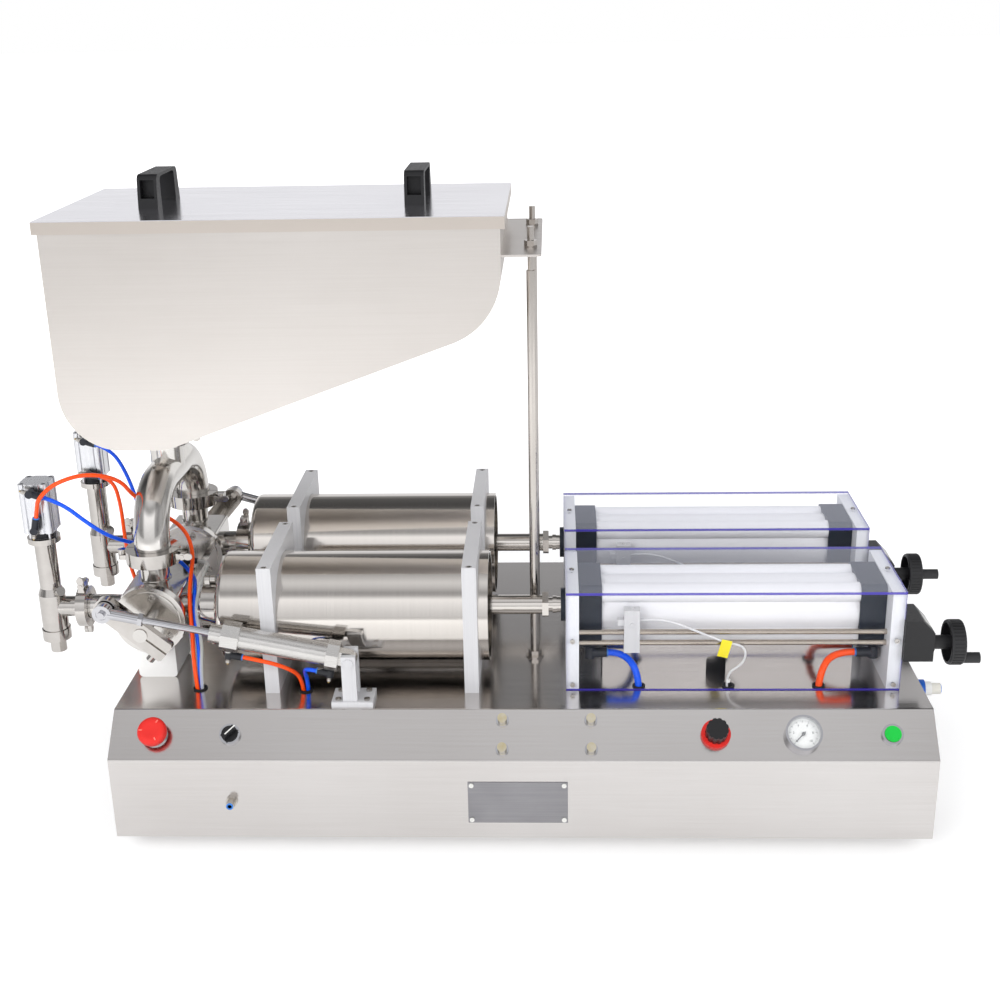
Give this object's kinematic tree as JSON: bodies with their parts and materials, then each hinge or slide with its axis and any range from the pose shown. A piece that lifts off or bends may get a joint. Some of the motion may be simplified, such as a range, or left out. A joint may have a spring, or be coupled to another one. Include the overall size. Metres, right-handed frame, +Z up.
{
  "type": "piston paste filling machine",
  "caption": "Bench-top pneumatic piston filler for paste: lidded hopper, two filling units with rotary valves and nozzles, clear-covered drives, on a low cabinet with a control panel.",
  "frame": {"origin": "middle of the machine's footprint box, on the floor under its rubber feet", "axes": "+X to the handwheel end, -X to the nozzles, -Y to the control panel, +Z up"},
  "size_m": [1.3482, 0.591, 0.905],
  "materials": {
    "cabinet_steel": "brushed sheet, satin",
    "brushed_steel": "brushed",
    "lid_steel": "brushed, a little bluish",
    "polished_steel": "turned and polished",
    "chromed_rod": "bright",
    "dark_steel": "dark, satin",
    "satin_aluminium": "satin",
    "barrel_aluminium": "white silver, anodised",
    "navy_paint": "dark navy, satin",
    "black_rubber": "matte",
    "black_plastic": "satin black",
    "white_plastic": "white, matte",
    "red_plastic": "red",
    "green_plastic": "green",
    "blue_black_plastic": "dark body, light blue collar",
    "blue_tube": "blue, smooth",
    "red_tube": "orange red, smooth",
    "grey_cable": "light grey",
    "clear_tube": "clear",
    "clear_sheet": "clear sheet",
    "clear_lens": "clear",
    "brass_nickel": "nickelled brass"
  },
  "bodies": {
    "machine": {"base_cabinet": "cabinet_steel", "rubber_feet": "black_rubber", "deck_grommets": "black_rubber", "cylinder_saddles": "satin_aluminium", "socket_screws": "dark_steel", "product_cylinders": "polished_steel", "cover_end_plates": "satin_aluminium", "clear_covers": "clear_sheet", "drive_barrels": "barrel_aluminium", "drive_end_caps": "navy_paint", "drive_support_channels": "brushed_steel", "guide_rods": "chromed_rod", "stroke_counters": "black_plastic", "hopper_shell": "brushed_steel", "hopper_bracket": "brushed_steel", "hopper_support_rods": "brushed_steel", "inlet_manifold": "polished_steel", "valve_bodies": "polished_steel", "valve_feet": "white_plastic", "pipe_clamps": "polished_steel", "nozzle_bodies": "polished_steel", "nozzle_cylinders": "satin_aluminium", "clevis_feet": "satin_aluminium", "push_in_fittings": "blue_black_plastic", "control_bezels": "chromed_rod", "regulator_body": "red_plastic", "gauge_body": "chromed_rod", "gauge_lens": "clear_lens", "blue_air_tubes": "blue_tube", "red_air_tubes": "red_tube", "linkage_air_hoses": "blue_tube", "sensor_cables": "grey_cable", "clear_hose": "clear_tube"},
    "front_piston": {"front_piston_rod": "polished_steel"},
    "front_valve": {"front_valve_rotor": "polished_steel", "front_valve_lever": "polished_steel"},
    "front_swing_cylinder": {"front_swing_barrel": "satin_aluminium"},
    "front_swing_piston": {"front_swing_rod": "polished_steel"},
    "front_nozzle_valve": {"front_nozzle_plunger": "polished_steel"},
    "front_wheel": {"front_handwheel": "black_plastic"},
    "front_carrier": {"front_sensor_carrier": "satin_aluminium"},
    "rear_piston": {"rear_piston_rod": "polished_steel"},
    "rear_valve": {"rear_valve_rotor": "polished_steel", "rear_valve_lever": "polished_steel"},
    "rear_swing_cylinder": {"rear_swing_barrel": "satin_aluminium"},
    "rear_swing_piston": {"rear_swing_rod": "polished_steel"},
    "rear_nozzle_valve": {"rear_nozzle_plunger": "polished_steel"},
    "rear_wheel": {"rear_handwheel": "black_plastic"},
    "rear_carrier": {"rear_sensor_carrier": "satin_aluminium"},
    "lid": {"hopper_lid": "lid_steel", "lid_handles": "black_plastic"},
    "emergency_stop": {"emergency_stop_head": "red_plastic"},
    "selector": {"selector_knob": "black_plastic"},
    "start": {"start_button": "green_plastic"},
    "regulator": {"regulator_knob": "black_plastic"},
    "needle": {"gauge_needle": "black_plastic"},
    "flow_control_1": {"flow_knob_1": "brass_nickel"},
    "flow_control_2": {"flow_knob_2": "brass_nickel"},
    "flow_control_3": {"flow_knob_3": "brass_nickel"},
    "flow_control_4": {"flow_knob_4": "brass_nickel"}
  },
  "joints": [
    {"name": "front_piston_slide", "type": "slide", "parent": "machine", "child": "front_piston", "axis": [-1, 0, 0], "range_m": [0, 0.25]},
    {"name": "front_valve_turn", "type": "hinge", "parent": "machine", "child": "front_valve", "pos_m": [-0.4935, -0.0935, 0.296], "axis": [0, 1, 0], "range_deg": [0, 90]},
    {"name": "front_cylinder_swing", "type": "hinge", "parent": "machine", "child": "front_swing_cylinder", "pos_m": [-0.2005, -0.2045, 0.2654], "axis": [0, 1, 0], "range_deg": [0, 4.97], "deforming": ["linkage_air_hoses"]},
    {"name": "front_rod_slide", "type": "slide", "parent": "front_swing_cylinder", "child": "front_swing_piston", "axis": [-0.9793, 0, 0.2025], "range_m": [-0.08071, 0]},
    {"name": "front_nozzle_lift", "type": "slide", "parent": "machine", "child": "front_nozzle_valve", "axis": [0, 0, 1], "range_m": [0, 0.025]},
    {"name": "front_handwheel_turn", "type": "hinge", "parent": "machine", "child": "front_wheel", "pos_m": [0.64, -0.152, 0.263], "axis": [1, 0, 0], "range_deg": [0, 9000.5]},
    {"name": "front_carrier_slide", "type": "slide", "parent": "machine", "child": "front_carrier", "axis": [1, 0, 0], "range_m": [0, 0.25], "deforming": ["sensor_cables"]},
    {"name": "rear_piston_slide", "type": "slide", "parent": "machine", "child": "rear_piston", "axis": [-1, 0, 0], "range_m": [0, 0.25]},
    {"name": "rear_valve_turn", "type": "hinge", "parent": "machine", "child": "rear_valve", "pos_m": [-0.4935, 0.1485, 0.296], "axis": [0, 1, 0], "range_deg": [-90, 0]},
    {"name": "rear_cylinder_swing", "type": "hinge", "parent": "machine", "child": "rear_swing_cylinder", "pos_m": [-0.2005, 0.2595, 0.2654], "axis": [0, 1, 0], "range_deg": [-4.97, 0], "deforming": ["linkage_air_hoses"]},
    {"name": "rear_rod_slide", "type": "slide", "parent": "rear_swing_cylinder", "child": "rear_swing_piston", "axis": [-0.958, 0, 0.2866], "range_m": [0, 0.08071]},
    {"name": "rear_nozzle_lift", "type": "slide", "parent": "machine", "child": "rear_nozzle_valve", "axis": [0, 0, 1], "range_m": [0, 0.025]},
    {"name": "rear_handwheel_turn", "type": "hinge", "parent": "machine", "child": "rear_wheel", "pos_m": [0.64, 0.09, 0.263], "axis": [1, 0, 0], "range_deg": [0, 9000.5]},
    {"name": "rear_carrier_slide", "type": "slide", "parent": "machine", "child": "rear_carrier", "axis": [1, 0, 0], "range_m": [0, 0.25], "deforming": ["sensor_cables"]},
    {"name": "lid_lift", "type": "slide", "parent": "machine", "child": "lid", "axis": [0, 0, 1], "range_m": [0, 0.3]},
    {"name": "emergency_stop_press", "type": "slide", "parent": "machine", "child": "emergency_stop", "axis": [0, 0.6968, -0.7173], "range_m": [0, 0.004]},
    {"name": "selector_turn", "type": "hinge", "parent": "machine", "child": "selector", "pos_m": [-0.3639, -0.25675, 0.1745], "axis": [0, -0.6968, 0.7173], "range_deg": [0, 90]},
    {"name": "start_button_press", "type": "slide", "parent": "machine", "child": "start", "axis": [0, 0.6968, -0.7173], "range_m": [0, 0.003], "stiffness_N_per_m": 400},
    {"name": "regulator_turn", "type": "hinge", "parent": "machine", "child": "regulator", "pos_m": [0.3015, -0.25675, 0.1745], "axis": [0, -0.6968, 0.7173], "range_deg": [-1080, 1080]},
    {"name": "gauge_needle_turn", "type": "hinge", "parent": "machine", "child": "needle", "pos_m": [0.4195, -0.25675, 0.1745], "axis": [0, -0.6968, 0.7173], "range_deg": [-270, 0]},
    {"name": "flow_knob_1_turn", "type": "hinge", "parent": "machine", "child": "flow_control_1", "pos_m": [0.0112, -0.24205, 0.18878], "axis": [0, -0.6968, 0.7173], "range_deg": [0, 3600]},
    {"name": "flow_knob_2_turn", "type": "hinge", "parent": "machine", "child": "flow_control_2", "pos_m": [0.1325, -0.24205, 0.18878], "axis": [0, -0.6968, 0.7173], "range_deg": [0, 3600]},
    {"name": "flow_knob_3_turn", "type": "hinge", "parent": "machine", "child": "flow_control_3", "pos_m": [0.0112, -0.27145, 0.16022], "axis": [0, -0.6968, 0.7173], "range_deg": [0, 3600]},
    {"name": "flow_knob_4_turn", "type": "hinge", "parent": "machine", "child": "flow_control_4", "pos_m": [0.1325, -0.27145, 0.16022], "axis": [0, -0.6968, 0.7173], "range_deg": [0, 3600]}
  ],
  "couplings": [
    {"joint": "front_cylinder_swing", "follows": "front_valve_turn", "ratio": 0.055232},
    {"joint": "front_rod_slide", "follows": "front_valve_turn", "m_per_rad": -0.051373},
    {"joint": "front_handwheel_turn", "follows": "front_carrier_slide", "rad_per_m": 628.32},
    {"joint": "rear_cylinder_swing", "follows": "rear_valve_turn", "ratio": 0.055232},
    {"joint": "rear_rod_slide", "follows": "rear_valve_turn", "m_per_rad": -0.051373},
    {"joint": "rear_handwheel_turn", "follows": "rear_carrier_slide", "rad_per_m": 628.32}
  ]
}
